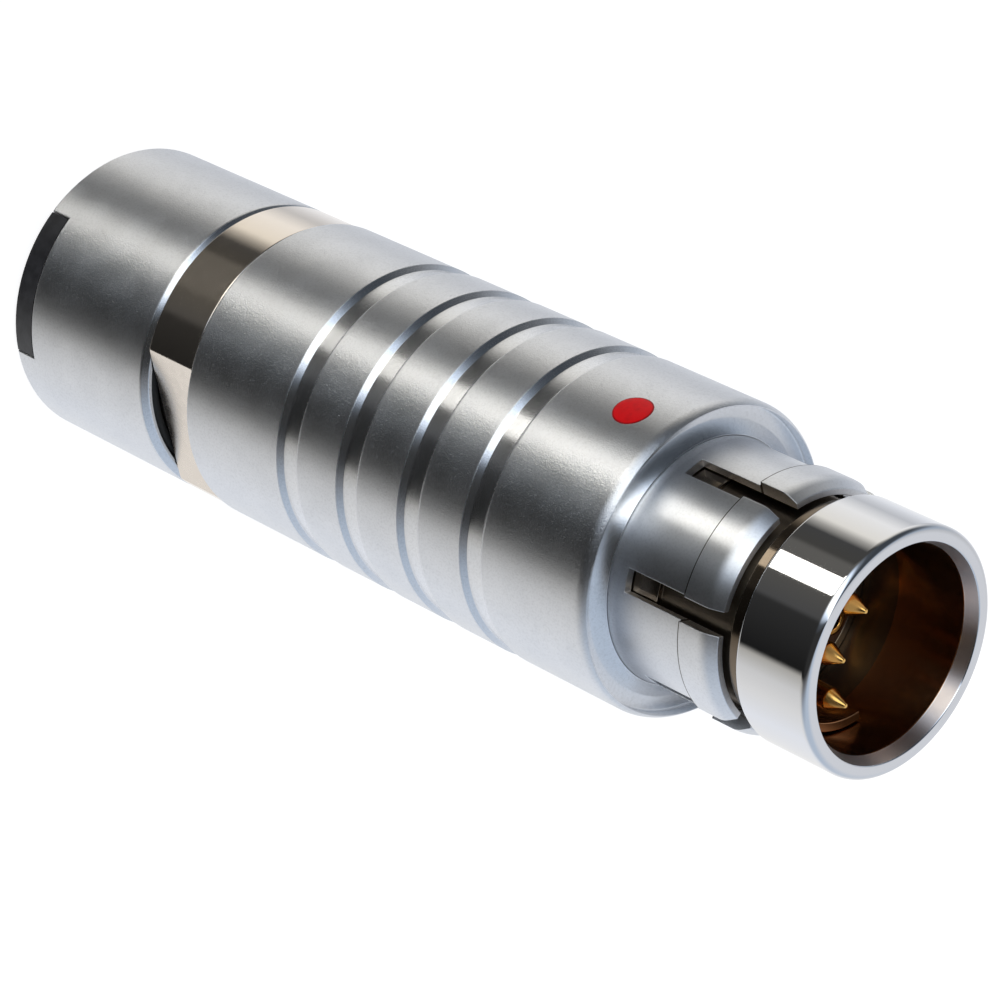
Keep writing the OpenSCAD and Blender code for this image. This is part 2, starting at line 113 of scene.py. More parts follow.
def mesh_object(name, verts_mm, faces):
    """verts_mm is an array (n, 3); faces is a list of arrays or lists of corner numbers."""
    quads = [f for f in faces if isinstance(f, np.ndarray)]
    others = [list(f) for f in faces if not isinstance(f, np.ndarray)]
    rows = [list(map(int, q)) for block in quads for q in block] + others
    used = np.zeros(len(verts_mm), bool)
    used[np.concatenate([np.ravel(b) for b in quads] + [np.array(o) for o in others])] = True
    renumber = np.cumsum(used) - 1
    rows = [[int(renumber[i]) for i in row] for row in rows]
    mesh = bpy.data.meshes.new(name)
    mesh.from_pydata((verts_mm[used] * MM).tolist(), [], rows)
    mesh.validate()
    mesh.shade_smooth()
    mesh.set_sharp_from_angle(angle=SHARP)
    piece = bpy.data.objects.new(name, mesh)
    bpy.context.scene.collection.objects.link(piece)
    return piece


def grid_quads(rows, cols, close_rows=False, close_cols=True):
    """Corner numbers of all quads of a grid whose point (row, col) has number row * cols + col."""
    i = np.arange(rows if close_rows else rows - 1)
    j = np.arange(cols if close_cols else cols - 1)
    i, j = [g.ravel() for g in np.meshgrid(i, j, indexing="ij")]
    i2, j2 = (i + 1) % rows, (j + 1) % cols
    return np.stack([i * cols + j, i * cols + j2, i2 * cols + j2, i2 * cols + j], 1)


ROUND = 240  # steps round a full turn


def turned(name, profile, steps=ROUND, limit=None, centre=(0, 0)):
    """A closed profile of (radius, height) goes once round the axis. The profile runs
    anticlockwise seen with the radius to the right, so that faces point outwards.
    limit(radius, height, angle) may pull points in, as a milled flat does."""
    profile = np.asarray(profile, float)
    angle = np.linspace(0, 2 * math.pi, steps, endpoint=False) if np.isscalar(steps) else steps
    radius = np.repeat(profile[:, :1], len(angle), 1)
    if limit is not None:
        radius = limit(radius, profile[:, 1:2], angle[None])
    verts = np.stack([centre[0] + radius * np.cos(angle), centre[1] + radius * np.sin(angle),
                      np.repeat(profile[:, 1:2], len(angle), 1)], 2).reshape(-1, 3)
    piece = mesh_object(name, verts, [grid_quads(len(profile), len(angle), close_rows=True)])
    print(name, len(piece.data.polygons), "faces")
    return piece


# %% [markdown]
# ## A tube with slots in one end
#
# The latch sleeve is one turned tube that is then slotted into fingers, and the back nut and the
# key ring are the same kind of thing with wide slots. Cutting with booleans leaves ragged
# triangles. Here the columns of the grid are laid along the slots' edges instead, so that the
# slots are simply places where no faces are made, and their walls are added as flat faces.

# %% Slotted tube
def slotted(name, outer, inner, floor, centres, half_angle, finger_steps=28, slot_steps=6,
            round_edges=0.05):
    """outer and inner are lists of (radius, height) from the solid end to the slotted end.
    floor is the height of the slots' closed end, and it is a point of both lists.
    half_angle(radius) is half a slot's width as an angle, and centres its directions."""
    loop = np.array(list(inner[::-1]) + list(outer), float)
    rows = len(loop)
    inner_floor = len(inner) - 1 - [i for i, q in enumerate(inner) if abs(q[1] - floor) < 1e-6][0]
    outer_floor = len(inner) + [i for i, q in enumerate(outer) if abs(q[1] - floor) < 1e-6][-1]
    half = half_angle(loop[:, 0])[:, None]
    period = 2 * math.pi / len(centres)
    t = np.linspace(0, 1, finger_steps + 1)[None]
    s = np.linspace(-1, 1, slot_steps + 1)[None, 1:-1]
    blocks = []
    for c in np.sort(np.array(centres)):
        blocks.append(c + half * s)
        blocks.append(c + half + (period - 2 * half) * t)
    angle = np.concatenate(blocks, 1)
    cols = angle.shape[1]
    per = cols // len(centres)
    verts = np.stack([loop[:, :1] * np.cos(angle), loop[:, :1] * np.sin(angle),
                      np.repeat(loop[:, 1:], cols, 1)], 2).reshape(-1, 3)
    quads = grid_quads(rows, cols, close_rows=True)
    row, col = quads[:, 0] // cols, quads[:, 0] % cols
    place = col % per
    in_slot = (place < slot_steps - 1) | (place == per - 1)
    solid_rows = (row >= inner_floor) & (row < outer_floor)
    faces = [quads[~in_slot | solid_rows]]
    floor_cols = np.unique(col[in_slot])
    nxt = (floor_cols + 1) % cols
    faces.append(np.stack([outer_floor * cols + floor_cols, outer_floor * cols + nxt,
                           inner_floor * cols + nxt, inner_floor * cols + floor_cols], 1))
    wall_rows = list(range(outer_floor, rows)) + list(range(0, inner_floor + 1))
    for k in range(len(centres)):
        first, last = k * per + slot_steps - 1, k * per + per - 1
        faces.append([r * cols + first for r in wall_rows])
        faces.append([r * cols + last for r in wall_rows[::-1]])
    piece = mesh_object(name, verts, faces)
    if round_edges:
        bevel = piece.modifiers.new("edge_break", "BEVEL")
        bevel.width = round_edges * MM
        bevel.segments = 3
        bevel.limit_method = "ANGLE"
        bevel.angle_limit = math.radians(28)
        bevel.harden_normals = True
    print(name, len(piece.data.polygons), "faces before its edges are rounded")
    return piece


def parallel(width):
    """Half a slot's angle at each radius, for a slot whose sides are parallel."""
    return lambda r: np.arcsin(width / 2 / r)


def even(degrees):
    """Half a slot's angle, for a slot whose sides point at the axis."""
    return lambda r: np.full_like(r, math.radians(degrees) / 2)


def top(node):
    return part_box(node)[1].z / MM


def bottom(node):
    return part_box(node)[0].z / MM


# %% [markdown]
# ## Release sleeve
#
# The grip is turned from brass and bead blasted. Its four grooves and its front face are cut
# after the blasting, so they are smoother, and then all of it is chromed. The face lies inside
# a rounded rim and sweeps up to the latch fingers. It is one closed profile.

# %% Release sleeve
SLEEVE_R = 9.5
SLEEVE_BORE = 8.3
SLEEVE_REAR, RIM_TOP = bottom("release_sleeve"), top("release_sleeve")
RIM_RISE, RIM_BEND = 0.65, 0.25
SLEEVE_FRONT = RIM_TOP - RIM_RISE
LIP_RISE, LIP_DEPTH = 0.5, 0.8
FACE_Z_LOW = SLEEVE_FRONT - 0.1
COLLAR_R, FOOT_R, LIP_R = 7.3, 7.42, 7.435
FIRST_GROOVE, GROOVE_PITCH, GROOVE_COUNT = 9.3, 5.3, 4
GROOVES = SLEEVE_REAR + FIRST_GROOVE + GROOVE_PITCH * np.arange(GROOVE_COUNT)
GROOVE_W, GROOVE_FLOOR, GROOVE_D = 1.85, 1.15, 0.3


def groove_corners(z):
    """The groove's four corners with their small rounds, from its rear edge to its front edge."""
    floor = SLEEVE_R - GROOVE_D
    return [(SLEEVE_R, z - GROOVE_W / 2, 0.05), (floor, z - GROOVE_FLOOR / 2, 0.06),
            (floor, z + GROOVE_FLOOR / 2, 0.06), (SLEEVE_R, z + GROOVE_W / 2, 0.12)]


def swing(radius, middle, first, last, steps=10):
    """Points on a circle round a middle, from the first to the last angle in degrees."""
    t = np.radians(np.linspace(first, last, steps + 1))
    return [(middle[0] + radius * math.cos(a), middle[1] + radius * math.sin(a)) for a in t]


def bend(rise, run):
    """Radius and angle of an arc that starts straight and leaves its line by run over the rise."""
    radius = (rise ** 2 + run ** 2) / (2 * run)
    return radius, math.degrees(math.asin(rise / radius))


profile = [(SLEEVE_BORE, SLEEVE_REAR, 0.1), (SLEEVE_R, SLEEVE_REAR, 0.1)]
for z in GROOVES:
    profile += groove_corners(z)
radius, angle = bend(RIM_RISE, RIM_BEND)
profile += swing(radius, (SLEEVE_R - radius, SLEEVE_FRONT), 0, angle)
RIM_INSIDE = SLEEVE_R - RIM_BEND - 0.06
profile += [(RIM_INSIDE, RIM_TOP, 0.02), (RIM_INSIDE, FACE_Z_LOW, 0.1)]
SWEEP_R, SWEEP_MIDDLE = 2.6, (LIP_R + 1.85, FACE_Z_LOW + 2.42)
sweep = swing(SWEEP_R, SWEEP_MIDDLE, -111, -135)
profile += sweep[:-1] + [(*sweep[-1], 0.04)]
profile += [(LIP_R, SLEEVE_FRONT - LIP_DEPTH, 0), (SLEEVE_BORE, SLEEVE_FRONT - LIP_DEPTH, 0)]
release_sleeve = turned("grip_sleeve", rounded(profile), 300)


# %% [markdown]
# ## Coding dot
#
# A drop of red enamel in a drilled recess marks the key. It follows the sleeve's curve and stands
# a few hundredths proud, with a rounded meniscus at its rim.

# %% Coding dot
DOT_R, DOT_Z = 1.2, SLEEVE_FRONT - 2.6
DOME, DOT_SUNK, DOT_DEPTH = 0.05, 0.01, 0.28
SPOKES = 64


def enamel_dot():
    """Rings and spokes: x = r cos t, z = r sin t, and y follows the sleeve's cylinder plus a
    dome whose height at the share s of its radius is the root of 1 - s to the sixth."""
    share = np.concatenate([np.linspace(0.02, 0.9, 14), [0.94, 0.97, 0.99, 1.0]])
    lift = DOME * np.sqrt(np.clip(1 - share ** 6, 0, 1)) - DOT_SUNK
    share, lift = np.append(share, 1.0), np.append(lift, -DOT_DEPTH)
    t = np.linspace(0, 2 * math.pi, SPOKES, endpoint=False)
    x = DOT_R * share[:, None] * np.cos(t)
    z = DOT_R * share[:, None] * np.sin(t)
    y = -np.sqrt(SLEEVE_R ** 2 - x ** 2) - lift[:, None]
    verts = np.stack([x, y, z + DOT_Z], 2).reshape(-1, 3)
    rings = len(share)
    quads = grid_quads(rings, SPOKES)[:, ::-1]
    caps = [list(range(SPOKES)), list(range((rings - 1) * SPOKES, rings * SPOKES))[::-1]]
    return mesh_object("enamel_dot", verts, [quads, *caps])


coding_dot = enamel_dot()
print("dot across", 2 * DOT_R, "mm")


# %% [markdown]
# ## Latch sleeve
#
# A thin tube of spring brass, slotted into six fingers. Each carries a claw: a small step up, a
# land, and a lead-in chamfer that the socket squeezes in. The slots have parallel sides, cut with
# a disc, and the first one lies in line with the dot.

# %% Latch sleeve
FINGER_FRONT = top("latch_sleeve")
FINGER_IN, FINGER_COUNT = 6.75, 6
FLANGE_R, FLANGE_REAR = SLEEVE_BORE - 0.03, bottom("latch_sleeve")
FLANGE_FRONT = SLEEVE_FRONT - LIP_DEPTH - 0.03
SLOT_W, SLOT_Z = 1.4, SLEEVE_FRONT + 1.55
CLAW_R, CLAW_REAR = COLLAR_R + 0.3, FINGER_FRONT - 2.7
LEAD_IN, LEAD_DROP = 0.75, 0.45
FLARE_Z, FLARE = SLEEVE_FRONT + LIP_RISE, 0.55
radius, angle = bend(FLARE, FOOT_R - COLLAR_R)
flare = swing(radius, (COLLAR_R + radius, FLARE_Z + FLARE), 180 + angle, 180, 8)
outer = rounded([(FLANGE_R, FLANGE_REAR), (FLANGE_R, FLANGE_FRONT),
                 (FOOT_R, FLANGE_FRONT), (FOOT_R, FLARE_Z - 0.02), *flare,
                 (COLLAR_R, SLOT_Z), (COLLAR_R, CLAW_REAR),
                 (CLAW_R, CLAW_REAR + 0.08, 0.04), (CLAW_R, FINGER_FRONT - LEAD_IN, 1.2),
                 (CLAW_R - LEAD_DROP, FINGER_FRONT)], closed=False, steps=5)
inner = [(FINGER_IN, FLANGE_REAR), (FINGER_IN, SLOT_Z), (FINGER_IN, FINGER_FRONT)]
slot_directions = np.radians(-90 + 360 / FINGER_COUNT * np.arange(FINGER_COUNT))
latch_sleeve = slotted("latch_fingers", outer, inner, SLOT_Z, slot_directions, parallel(SLOT_W),
                       round_edges=0.04)


# %% [markdown]
# ## Plug shell
#
# The inner shell carries the insert and ends in the nose, the only mirror-bright part. Its waist
# lies under the fingers, so that they can bend in. Inside the mouth a long shallow chamfer leads
# the socket in.

# %% Plug shell
NOSE_R, NOSE_BORE, MOUTH_R = 7.35, 6.1, 6.45
NOSE_FRONT = top("plug_shell")
NOSE_REAR = NOSE_FRONT - 5.35
NOSE_EDGE, MOUTH_CHAMFER = 0.3, 0.85
SHELL_BORE, GUIDE_R, WAIST_R = 5.85, 6.67, 6.3
WAIST_REAR, WAIST_FRONT = SLOT_Z + 1.9, FINGER_FRONT + 0.1
UNDER_R = SLEEVE_BORE - 0.08
SHELL_REAR = bottom("plug_shell")
SHOULDER = bottom("latch_holding_ring") - 0.2
JOINT_BORE, JOINT_FRONT = 7.45, SHELL_REAR + 3.43
CARRIER_BORE, CARRIER_STOP = 6.85, SHOULDER - 2
profile = [(JOINT_BORE, SHELL_REAR, 0), (UNDER_R, SHELL_REAR, 0.1), (UNDER_R, SHOULDER, 0.1),
           (GUIDE_R, SHOULDER, 0.1), (GUIDE_R, WAIST_REAR, 0.08), (WAIST_R, WAIST_REAR, 0.05),
           (WAIST_R, WAIST_FRONT, 0.05), (GUIDE_R, WAIST_FRONT + 0.3, 0.1),
           (GUIDE_R, NOSE_REAR, 0.12), (NOSE_R - NOSE_EDGE, NOSE_REAR, 0.05),
           (NOSE_R, NOSE_REAR + NOSE_EDGE, 0.2), (NOSE_R, NOSE_FRONT, 0.45),
           (MOUTH_R, NOSE_FRONT, 0.1), (NOSE_BORE, NOSE_FRONT - MOUTH_CHAMFER, 0.15),
           (SHELL_BORE, NOSE_REAR + 0.4, 0.3), (SHELL_BORE, CARRIER_STOP, 0),
           (CARRIER_BORE, CARRIER_STOP, 0), (CARRIER_BORE, JOINT_FRONT, 0),
           (JOINT_BORE, JOINT_FRONT, 0)]
plug_shell = turned("nose_shell", rounded(profile, steps=8), 300)


# %% [markdown]
# ## Rear body
#
# Between the nut and the grip a polished neck shows, with two milled flats for a spanner. A flat
# is a limit on the radius: at angle t no point may lie further out than d / cos t.

# %% Rear body with its spanner flats
REAR_R = 9.4
FLAT = REAR_R - 1.3
FLAT_TURN = math.radians(-4)
NECK_REAR = top("back_nut") + 0.1
NECK_FRONT = SLEEVE_REAR - 0.1


def flats(radius, height, angle):
    """The radius, cut down to the flat's distance where the neck is milled."""
    in_neck = (height > NECK_REAR - 0.05) & (height < NECK_FRONT + 0.05) & (radius > UNDER_R)
    reach = FLAT / np.abs(np.cos(angle - FLAT_TURN) + 1e-9)
    return np.where(in_neck, np.minimum(radius, reach), radius)


edge = math.acos(FLAT / REAR_R)
HAIR = 1e-3  # a second column this close to a flat's edge keeps the edge crisp
half_turn = np.concatenate([
    np.linspace(0, edge, 40, endpoint=False), [edge - HAIR],
    np.linspace(edge, math.pi - edge, 100, endpoint=False), [math.pi - edge],
    np.linspace(math.pi - edge + HAIR, math.pi, 40, endpoint=False)])
turn = np.concatenate([half_turn, half_turn + math.pi]) + FLAT_TURN
SPIGOT_R, SPIGOT_BORE, SPIGOT_REAR = 7.97, 7.02, bottom("rear_body")
SPIGOT_EDGE = 0.3
CLAMP_TOP = top("shield_clamp") + 0.03
BODY_FRONT, JOINT_R, BODY_BORE = top("rear_body"), 7.42, 6.32
TUBE_FRONT = SLEEVE_REAR + 4.8
profile = [(SPIGOT_BORE, SPIGOT_REAR, 0), (SPIGOT_R - SPIGOT_EDGE, SPIGOT_REAR, 0),
           (SPIGOT_R, SPIGOT_REAR + SPIGOT_EDGE, 0), (SPIGOT_R, NECK_REAR, 0),
           (REAR_R, NECK_REAR, 0.05), (REAR_R, NECK_FRONT, 0.06), (UNDER_R, NECK_FRONT, 0),
           (UNDER_R, TUBE_FRONT, 0.1), (JOINT_R, TUBE_FRONT, 0), (JOINT_R, BODY_FRONT, 0.1),
           (BODY_BORE, BODY_FRONT, 0), (BODY_BORE, CLAMP_TOP, 0), (SPIGOT_BORE, CLAMP_TOP, 0)]
rear_body = turned("neck_body", rounded(profile), turn, limit=flats)


# %% [markdown]
# ## Back nut and gland plate
#
# The nut squeezes the collet on the cable. Two wide notches in its rear rim take a spanner, and
# the lugs of a black gland plate fill them. The nut is a slotted tube that points backwards, so
# it is made nose-down and its heights are turned over.

# %% Back nut
GLAND_HOLE, GLAND_SEAT = 7.43, -2.03
NUT_TOP = top("back_nut")
NUT_EDGE, NUT_MOUTH, NUT_BORE = 0.4, SPIGOT_R + 0.76, 8.0
CONE_WIDE, CONE_NARROW = (7.7, -4.9), (6.3, -3.0)
NOTCH, NOTCH_TURN = 58, -37
outer = [(NUT_MOUTH, -NUT_TOP), (REAR_R - NUT_EDGE, -NUT_TOP), (REAR_R, -NUT_TOP + NUT_EDGE),
         (REAR_R, GLAND_SEAT), (REAR_R, -NUT_EDGE), (REAR_R - NUT_EDGE, 0)]
inner = [(NUT_MOUTH, -NUT_TOP + 1), (NUT_BORE, -NUT_TOP + 1), (NUT_BORE, CONE_WIDE[1]),
         CONE_WIDE, CONE_NARROW, (CONE_NARROW[0], GLAND_SEAT), (GLAND_HOLE, GLAND_SEAT),
         (GLAND_HOLE, 0)]
notches = np.radians(np.array([-NOTCH_TURN, 180 - NOTCH_TURN]))
back_nut = slotted("clamp_nut", outer, inner, GLAND_SEAT, notches, even(NOTCH),
                   finger_steps=90, slot_steps=44, round_edges=0.1)
co = np.empty(len(back_nut.data.vertices) * 3, np.float32)
back_nut.data.vertices.foreach_get("co", co)
co = co.reshape(-1, 3) * (1, -1, -1)
back_nut.data.vertices.foreach_set("co", co.ravel())
back_nut.data.update()


# %% [markdown]
# ## Key ring
#
# A thin ring lies round the insulators. Its tongue stands up inside the nose and lets the plug
# into its socket one way only. It is a slotted tube with one slot of three quarters of a turn.

# %% Key ring
KEY_OUT, KEY_IN = 5.82, 5.27
FACE_Z = top("insulator_front")
KEY_REAR, KEY_TOP = bottom("key_ring"), top("key_ring")
KEY_ANGLE, KEY_MIDDLE = 90, 38
outer = [(KEY_OUT, KEY_REAR), (KEY_OUT, FACE_Z), (KEY_OUT, KEY_TOP)]
inner = [(KEY_IN, KEY_REAR), (KEY_IN, FACE_Z), (KEY_IN, KEY_TOP)]
key_ring = slotted("key_tongue", outer, inner, FACE_Z, [math.radians(KEY_MIDDLE + 180)],
                   even(360 - KEY_ANGLE), finger_steps=60, slot_steps=150, round_edges=0.06)


# %% [markdown]
# ## Contacts
#
# Nine places stand round the insert. Three are long gold pins with pointed tips, and six are
# sockets that end flush in the plastic. Each is turned about its own axis.

# %% Contacts
RING_R = 4.2
PLACES, PIN_COUNT = 9, 3
PIN_R, SOCKET_R = 0.65, 0.9
SOCKET_BORE, SOCKET_FLOOR = 0.6, FACE_Z - 3.8
CUP_REAR, PIN_TOP = bottom("pin_contact_1"), top("pin_contact_1")
SHANK_TOP = FACE_Z - 5
POINT, TIP_R = 1.1, 0.12
CORE = 0.01  # radius of the ring that closes an end on the contact's own axis


def contact_place(i):
    """Centre of contact place i, counted round the insert from the first pin."""
    a = math.radians(-70 + 360 / PLACES * i)
    return RING_R * math.cos(a), RING_R * math.sin(a)


def pin(i):
    profile = [(CORE, CUP_REAR, 0), (PIN_R, CUP_REAR, 0.05), (PIN_R, SHANK_TOP, 0),
               (SOCKET_R, SHANK_TOP, 0), (SOCKET_R, FACE_Z - 0.2, 0.05), (PIN_R, FACE_Z - 0.2, 0),
               (PIN_R, PIN_TOP - POINT, 0.3), (TIP_R, PIN_TOP, 0.08), (CORE, PIN_TOP, 0)]
    return turned(f"pin_{i + 1}", rounded(profile), 48, centre=contact_place(i))


def socket(i):
    profile = [(CORE, CUP_REAR, 0), (PIN_R, CUP_REAR, 0), (PIN_R, SHANK_TOP, 0),
               (SOCKET_R, SHANK_TOP, 0), (SOCKET_R, FACE_Z - 0.05, 0.06),
               (SOCKET_BORE, FACE_Z - 0.05, 0.08), (SOCKET_BORE, SOCKET_FLOOR, 0),
               (CORE, SOCKET_FLOOR, 0)]
    name = f"socket_{i - PIN_COUNT + 1}"
    return turned(name, rounded(profile), 48, centre=contact_place(i))


pins = [pin(i) for i in range(PIN_COUNT)]
sockets = [socket(i) for i in range(PIN_COUNT, PLACES)]


# %% [markdown]
# ## Finishes
#
# Plated brass is all reflection, so its look lives in roughness and in tiny bumps. Bead blasting
# leaves grains of about a tenth of a millimetre, which break the reflections into a fine sparkle.
# Object coordinates keep every grain its real size.

# %% Node helpers
def new_material(name, color, metallic, roughness):
    mat = bpy.data.materials.new(name)
    mat.use_nodes = True
    shader = mat.node_tree.nodes["Principled BSDF"]
    shader.inputs["Base Color"].default_value = (*color, 1)
    shader.inputs["Metallic"].default_value = metallic
    shader.inputs["Roughness"].default_value = roughness
    return mat, mat.node_tree, shader


def noise(tree, per_mm, detail=2.0, stretch=(1, 1, 1)):
    """Noise with about per_mm features to the millimetre, on the piece's own coordinates."""
    where = tree.nodes.new("ShaderNodeTexCoord")
    mapping = tree.nodes.new("ShaderNodeMapping")
    mapping.inputs["Scale"].default_value = stretch
    tree.links.new(where.outputs["Object"], mapping.inputs["Vector"])
    node = tree.nodes.new("ShaderNodeTexNoise")
    node.inputs["Scale"].default_value = per_mm / MM
    node.inputs["Detail"].default_value = detail
    tree.links.new(mapping.outputs["Vector"], node.inputs["Vector"])
    return node.outputs["Fac"]


def spread(tree, value, low, high, from_low=0.3, from_high=0.7):
    """The value, carried from one range to another."""
    node = tree.nodes.new("ShaderNodeMapRange")
    node.inputs["From Min"].default_value = from_low
    node.inputs["From Max"].default_value = from_high
    node.inputs["To Min"].default_value = low
    node.inputs["To Max"].default_value = high
    tree.links.new(value, node.inputs["Value"])
    return node.outputs["Result"]


def bump(tree, shader, height, strength, distance_mm):
    node = tree.nodes.new("ShaderNodeBump")
    node.inputs["Strength"].default_value = strength
    node.inputs["Distance"].default_value = distance_mm * MM
    tree.links.new(height, node.inputs["Height"])
    tree.links.new(node.outputs["Normal"], shader.inputs["Normal"])
    return node


def tint(tree, shader, value, first, second, third=None):
    """Base colour runs from the first to the second with the value, and on to a third at 1."""
    ramp = tree.nodes.new("ShaderNodeValToRGB")
    ramp.color_ramp.elements[0].position = 0.35
    ramp.color_ramp.elements[0].color = (*first, 1)
    ramp.color_ramp.elements[1].position = 0.65
    ramp.color_ramp.elements[1].color = (*second, 1)
    if third:
        ramp.color_ramp.elements.new(1.0).color = (*third, 1)
    tree.links.new(value, ramp.inputs["Fac"])
    tree.links.new(ramp.outputs["Color"], shader.inputs["Base Color"])


# %% Measures on a piece
def math_node(tree, operation, first, second=0.0):
    node = tree.nodes.new("ShaderNodeMath")
    node.operation = operation
    for entry, value in zip(node.inputs, (first, second)):
        if hasattr(value, "default_value"):
            tree.links.new(value, entry)
        else:
            entry.default_value = value
    return node.outputs[0]


def total(tree, first, second):
    return math_node(tree, "ADD", first, second)


def product(tree, first, second):
    return math_node(tree, "MULTIPLY", first, second)


def length(tree, first, second):
    """The root of the sum of two squares."""
    squares = total(tree, product(tree, first, first), product(tree, second, second))
    return math_node(tree, "SQRT", squares)


def position(tree):
    """The three coordinates of a point on the piece."""
    where = tree.nodes.new("ShaderNodeTexCoord")
    parts = tree.nodes.new("ShaderNodeSeparateXYZ")
    tree.links.new(where.outputs["Object"], parts.inputs[0])
    return parts.outputs


def axis_distance(tree):
    """Distance from the plug's axis."""
    x, y, _ = position(tree)
    return length(tree, x, y)


def either(tree, value, limit_mm, below, above):
    """One number below the limit and another one above it, with a step two hundredths wide."""
    return spread(tree, value, below, above, (limit_mm - 0.01) * MM, (limit_mm + 0.01) * MM)


def highest(tree, *values):
    """The largest of some numbers."""
    result = values[0]
    for value in values[1:]:
        result = math_node(tree, "MAXIMUM", result, value)
    return result


QUARTER_TURN = 0.25
LEAN = 1e-4  # tips the direction a little, because the walls of the slots face it squarely


def turning_marks(tree, shader, amount=0.8):
    """Marks that run round the axis smear reflections along it more than round it. At the point
    (x, y) they run in the direction (-y, x)."""
    x, y, _ = position(tree)
    along = tree.nodes.new("ShaderNodeCombineXYZ")
    tree.links.new(product(tree, y, -1.0), along.inputs["X"])
    tree.links.new(x, along.inputs["Y"])
    along.inputs["Z"].default_value = LEAN
    tree.links.new(along.outputs[0], shader.inputs["Tangent"])
    shader.inputs["Anisotropic"].default_value = amount
    shader.inputs["Anisotropic Rotation"].default_value = QUARTER_TURN


# %% Satin chrome
def satin_chrome(name, blasted_from_mm, rim_from_mm=1e3, shade_line_mm=-1e3, smooth=0.22, blasted=0.32):
    """Blasted where the surface lies outside the given radius, and on the rim's rounded outside.
    Elsewhere it is turned smooth. A thin dark line of painted shade may run round it at one
    height, as at the step of a claw."""
    mat, tree, shader = new_material(name, (0.76, 0.77, 0.79), 1.0, 0.3)
    turning_marks(tree, shader)
    height, out = position(tree)[2], axis_distance(tree)
    rim = product(tree, either(tree, height, rim_from_mm, 0.0, 1.0),
                  either(tree, out, SLEEVE_R - RIM_BEND - 0.02, 0.0, 1.0))
    where = highest(tree, either(tree, out, blasted_from_mm, 0.0, 1.0), rim)
    grain = noise(tree, 12.0, 2.0)
    node = bump(tree, shader, grain, 0.3, 0.014)
    tree.links.new(spread(tree, where, 0.1, 0.85, 0, 1), node.inputs["Strength"])
    cloud = spread(tree, noise(tree, 0.5, 4.0), -0.03, 0.03)
    speck = spread(tree, noise(tree, 9.0, 1.0), 0.0, 0.2, 0.6, 0.75)
    rough = total(tree, spread(tree, where, smooth, blasted, 0, 1), cloud)
    rough = total(tree, rough, product(tree, speck, where))
    tree.links.new(rough, shader.inputs["Roughness"])
    # Painted shade: a thin line at one height takes the dark first colour, standing for the shade
    # along the claws' step. Elsewhere the noise only varies the tone a little.
    off_shade_line = math_node(tree, "ABSOLUTE", math_node(tree, "SUBTRACT", height, shade_line_mm * MM))
    clear = either(tree, off_shade_line, 0.08, 0.0, 1.0)
    shade = product(tree, spread(tree, noise(tree, 7.0, 3.0), 0.62, 0.67), clear)
    tint(tree, shader, shade, (0.10, 0.09, 0.08), (0.81, 0.82, 0.84))
    return mat


# %% Mirror chrome, nickel and gold
def bright_chrome():
    """A mirror on the nose. The bore and the guide beneath the fingers have only a nickel coat,
    which is warmer and less smooth. The bore's deep brown is painted reflection of the amber
    insert, and the guide's near-black is painted shade in the slots and behind the nose. The
    chamfer in the mouth is dull and a little warmer."""
    mat, tree, shader = new_material("bright_chrome", (0.80, 0.80, 0.81), 1.0, 0.06)
    turning_marks(tree, shader)
    bump(tree, shader, noise(tree, 0.25, 2.0), 0.08, 0.02)
    height, out = position(tree)[2], axis_distance(tree)
    # Painted reflection: in the bore the tint below turns deep brown, standing for the amber insert
    # mirrored there.
    bore = either(tree, out, NOSE_BORE + 0.02, 1.0, 0.0)
    # Painted shade: behind the nose the tint below turns near-black, standing for the shade in the
    # slots and in the gap between the fingers and the nose.
    under = either(tree, height, NOSE_REAR - 0.02, 1.0, 0.0)
    lead = product(tree, either(tree, out, NOSE_BORE + 0.02, 0.0, 1.0),
                   either(tree, out, MOUTH_R - 0.02, 1.0, 0.0))
    rough = spread(tree, noise(tree, 3.0, 4.0), 0.03, 0.07)
    for mask, duller in ((bore, 0.12), (lead, 0.27), (under, 0.08)):
        rough = total(tree, rough, product(tree, mask, duller))
    tree.links.new(rough, shader.inputs["Roughness"])
    # The tint: a little warmer on the mouth's chamfer, painted reflection in the bore, painted
    # shade on the guide behind the nose.
    tint_and_painted_light = highest(tree, product(tree, bore, 0.65), under, product(tree, lead, 0.45))
    tint(tree, shader, tint_and_painted_light, (0.80, 0.80, 0.81), (0.55, 0.30, 0.15), (0.2, 0.16, 0.12))
    return mat


def polished_nickel():
    """Polished on the lathe. The milled flats are duller. A point lies on one where its distance
    from the axis, measured along the flats' normal, is the flat's own."""
    mat, tree, shader = new_material("polished_nickel", (0.86, 0.78, 0.69), 1.0, 0.12)
    bump(tree, shader, noise(tree, 0.8, 3.0, stretch=(0.05, 0.05, 14)), 0.12, 0.01)
    x, y, _ = position(tree)
    along = total(tree, product(tree, x, math.cos(FLAT_TURN)),
                  product(tree, y, math.sin(FLAT_TURN)))
    milled = either(tree, math_node(tree, "ABSOLUTE", along), FLAT - 0.03, 0.0, 0.17)
    rough = spread(tree, noise(tree, 1.5, 3.0), 0.07, 0.14)
    tree.links.new(total(tree, rough, milled), shader.inputs["Roughness"])
    return mat


def gold():
    mat, tree, shader = new_material("gold_plate", (0.92, 0.54, 0.16), 1.0, 0.16)
    bump(tree, shader, noise(tree, 5.0, 2.0), 0.1, 0.01)
    return mat


def turned_brass():
    mat, tree, shader = new_material("turned_brass", (0.72, 0.55, 0.28), 1.0, 0.25)
    rings = noise(tree, 1.0, 3.0, stretch=(0.05, 0.05, 12))
    bump(tree, shader, rings, 0.3, 0.015)
    tint(tree, shader, noise(tree, 0.8, 4.0), (0.66, 0.5, 0.26), (0.76, 0.6, 0.32))
    return mat


def spring_steel():
    mat, tree, shader = new_material("spring_steel", (0.5, 0.5, 0.52), 1.0, 0.25)
    bump(tree, shader, noise(tree, 4.0, 3.0), 0.2, 0.01)
    return mat


